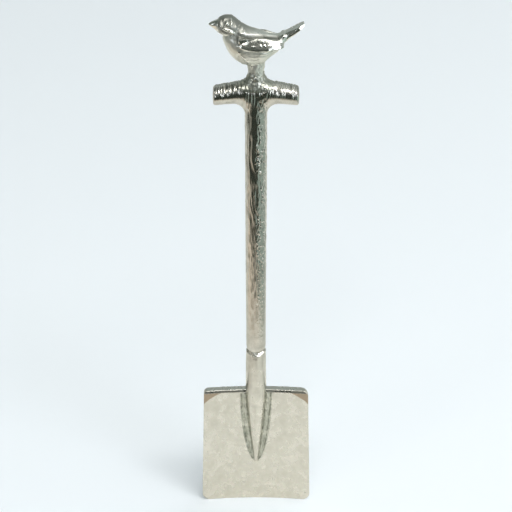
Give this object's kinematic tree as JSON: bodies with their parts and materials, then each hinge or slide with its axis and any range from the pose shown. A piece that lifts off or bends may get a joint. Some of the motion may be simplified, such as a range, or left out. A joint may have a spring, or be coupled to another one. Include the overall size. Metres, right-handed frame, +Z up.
{
  "type": "sugar spoon",
  "caption": "Sugar spoon shaped as a garden spade: dished blade with treads, socket and tongue, straight shaft, T grip and a small perched bird.",
  "frame": {"origin": "middle of the blade's cutting edge, the lowest point of the upright spoon", "axes": "+Z up the shaft, +X along the grip from the bird's beak to its tail, blade's hollow face to -Y"},
  "size_m": [0.023, 0.007, 0.1116],
  "materials": {
    "polished_pewter": "gloss",
    "satin_pewter": "satin",
    "cast_pewter": "gloss",
    "bird_pewter": "gloss",
    "solder": "satin"
  },
  "bodies": {
    "root": {"blade": "polished_pewter", "socket": "satin_pewter", "strap_solder": "solder", "shaft": "cast_pewter", "grip": "cast_pewter", "bird": "bird_pewter", "bird_solder": "solder"}
  },
  "joints": []
}
